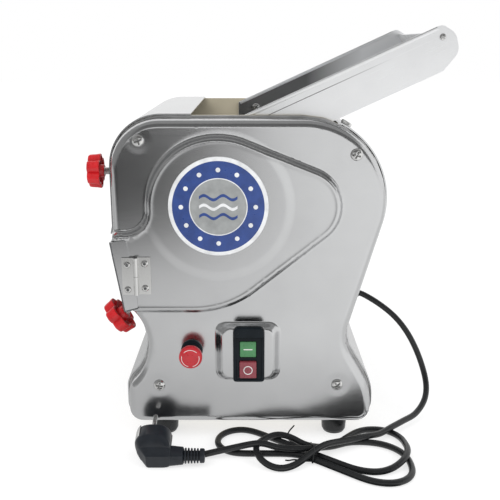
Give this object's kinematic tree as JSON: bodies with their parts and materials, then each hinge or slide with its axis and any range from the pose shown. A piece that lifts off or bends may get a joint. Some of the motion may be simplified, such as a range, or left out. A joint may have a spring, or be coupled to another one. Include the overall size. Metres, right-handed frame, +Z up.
{
  "type": "dough sheeter",
  "caption": "Bench-top electric dough sheeter with sloping feed tray, geared rollers, noodle cutters, hinged outlet door, star knobs, switch and mains lead.",
  "frame": {"origin": "bottom centre of the machine's bounding box without its mains lead, on the bench under the feet", "axes": "+Z up, -X towards the outlet side, +X towards the raised tray, -Y towards the control side"},
  "size_m": [0.3729, 0.401, 0.4326],
  "materials": {
    "stainless": "satin polished stainless sheet",
    "inner_steel": "matt plate inside the body",
    "machined": "turned steel",
    "zinc": "bright zinc plate",
    "bronze": "sintered bronze",
    "cast": "dark oiled iron",
    "red_plastic": "glossy",
    "red_key": "translucent gloss",
    "green_key": "translucent gloss",
    "black_plastic": "satin",
    "black_rubber": "matt"
  },
  "bodies": {
    "frame": {"base_plate": "inner_steel", "near_side_cover": "stainless", "far_side_cover": "stainless", "front_hood": "stainless", "rear_shell": "stainless", "waist_panel": "stainless", "near_side_plate": "inner_steel", "far_side_plate": "inner_steel", "near_roller_bush": "bronze", "far_roller_bush": "bronze", "drive_motor": "cast", "drive_belt": "black_rubber", "comb_bar": "machined", "near_tray_pivot": "zinc", "far_tray_pivot": "zinc", "cover_hinge_leaf": "zinc", "hinge_pin": "zinc", "estop_collar": "black_plastic", "switch_housing": "black_plastic", "foot_front_near": "black_rubber", "foot_front_far": "black_rubber", "foot_rear_near": "black_rubber", "foot_rear_far": "black_rubber", "cover_screw_1": "zinc", "cover_screw_2": "zinc", "cover_screw_3": "zinc", "cover_screw_4": "zinc", "cable_gland": "black_rubber", "cord_lead": "black_rubber", "cord_bundle": "black_rubber", "cord_tail": "black_rubber", "mains_plug": "black_rubber", "plug_pin_upper": "zinc", "plug_pin_lower": "zinc"},
    "roller_drive": {"rear_roller": "machined", "drive_gear": "cast", "rear_roller_gear": "cast"},
    "gap_carriage": {"near_slide_block": "cast", "far_slide_block": "cast"},
    "front_roller_set": {"front_roller": "machined", "front_roller_gear": "cast"},
    "countershaft_set": {"countershaft": "machined", "countershaft_pulley": "cast"},
    "motor_rotor": {"motor_pulley": "machined"},
    "upper_cutter_set": {"upper_cutter": "machined"},
    "lower_cutter_set": {"lower_cutter": "machined"},
    "tray": {"feed_tray": "stainless"},
    "door": {"outlet_door": "stainless", "door_hinge_leaf": "zinc"},
    "estop_button": {"estop_head": "red_plastic"},
    "start_key": {"start_button": "green_key"},
    "stop_key": {"stop_button": "red_key"},
    "gap_screw_near": {"upper_knob_near": "red_plastic", "upper_stud_near": "zinc"},
    "gap_screw_far": {"upper_knob_far": "red_plastic", "upper_stud_far": "zinc"},
    "clamp_screw_near": {"lower_knob_near": "red_plastic", "lower_stud_near": "zinc"},
    "clamp_screw_far": {"lower_knob_far": "red_plastic", "lower_stud_far": "zinc"}
  },
  "joints": [
    {"name": "rear_roller_spin", "type": "hinge", "parent": "frame", "child": "roller_drive", "pos_m": [-0.05048, 0.012, 0.261], "axis": [0, 1, 0], "continuous": true},
    {"name": "gap_slide", "type": "slide", "parent": "frame", "child": "gap_carriage", "axis": [-1, 0, 0], "range_m": [0, 0.005]},
    {"name": "front_roller_spin", "type": "hinge", "parent": "gap_carriage", "child": "front_roller_set", "pos_m": [-0.0923, 0.012, 0.2919], "axis": [0, 1, 0], "continuous": true},
    {"name": "countershaft_spin", "type": "hinge", "parent": "frame", "child": "countershaft_set", "pos_m": [0.03352, 0.012, 0.261], "axis": [0, 1, 0], "continuous": true},
    {"name": "motor_spin", "type": "hinge", "parent": "frame", "child": "motor_rotor", "pos_m": [-0.01618, 0.112, 0.092], "axis": [0, 1, 0], "continuous": true},
    {"name": "upper_cutter_spin", "type": "hinge", "parent": "frame", "child": "upper_cutter_set", "pos_m": [-0.1078, 0.012, 0.2081], "axis": [0, 1, 0], "continuous": true},
    {"name": "lower_cutter_spin", "type": "hinge", "parent": "frame", "child": "lower_cutter_set", "pos_m": [-0.08564, 0.012, 0.17974], "axis": [0, 1, 0], "continuous": true},
    {"name": "tray_tilt", "type": "hinge", "parent": "frame", "child": "tray", "pos_m": [-0.01128, 0.012, 0.3371], "axis": [0, -1, 0], "range_deg": [0, 95]},
    {"name": "door_hinge", "type": "hinge", "parent": "frame", "child": "door", "pos_m": [-0.13438, -0.1494, 0.19], "axis": [0, 0, 1], "range_deg": [0, 105]},
    {"name": "estop_press", "type": "slide", "parent": "frame", "child": "estop_button", "axis": [0, 1, 0], "range_m": [0, 0.0035]},
    {"name": "start_press", "type": "slide", "parent": "frame", "child": "start_key", "axis": [0, 1, 0], "range_m": [0, 0.003], "stiffness_N_per_m": 400},
    {"name": "stop_press", "type": "slide", "parent": "frame", "child": "stop_key", "axis": [0, 1, 0], "range_m": [0, 0.003], "stiffness_N_per_m": 400},
    {"name": "gap_screw_near_turn", "type": "hinge", "parent": "frame", "child": "gap_screw_near", "pos_m": [-0.17618, -0.1123, 0.2919], "axis": [1, 0, 0], "range_deg": [0, 1441]},
    {"name": "gap_screw_far_turn", "type": "hinge", "parent": "frame", "child": "gap_screw_far", "pos_m": [-0.17618, 0.1363, 0.2919], "axis": [1, 0, 0], "range_deg": [0, 1441]},
    {"name": "clamp_screw_near_turn", "type": "hinge", "parent": "frame", "child": "clamp_screw_near", "pos_m": [-0.14308, -0.099, 0.1446], "axis": [-0.7852, 0, -0.6192], "range_deg": [0, 720]},
    {"name": "clamp_screw_far_turn", "type": "hinge", "parent": "frame", "child": "clamp_screw_far", "pos_m": [-0.14308, 0.123, 0.1446], "axis": [-0.7852, 0, -0.6192], "range_deg": [0, 720]}
  ],
  "couplings": [
    {"joint": "front_roller_spin", "follows": "rear_roller_spin", "ratio": -1},
    {"joint": "countershaft_spin", "follows": "rear_roller_spin", "ratio": -2.5},
    {"joint": "motor_spin", "follows": "rear_roller_spin", "ratio": -6.5625},
    {"joint": "upper_cutter_spin", "follows": "rear_roller_spin", "ratio": -3.3333},
    {"joint": "lower_cutter_spin", "follows": "rear_roller_spin", "ratio": 3.3333},
    {"joint": "gap_screw_near_turn", "follows": "gap_slide", "rad_per_m": 5026.5},
    {"joint": "gap_screw_far_turn", "follows": "gap_slide", "rad_per_m": 5026.5}
  ]
}
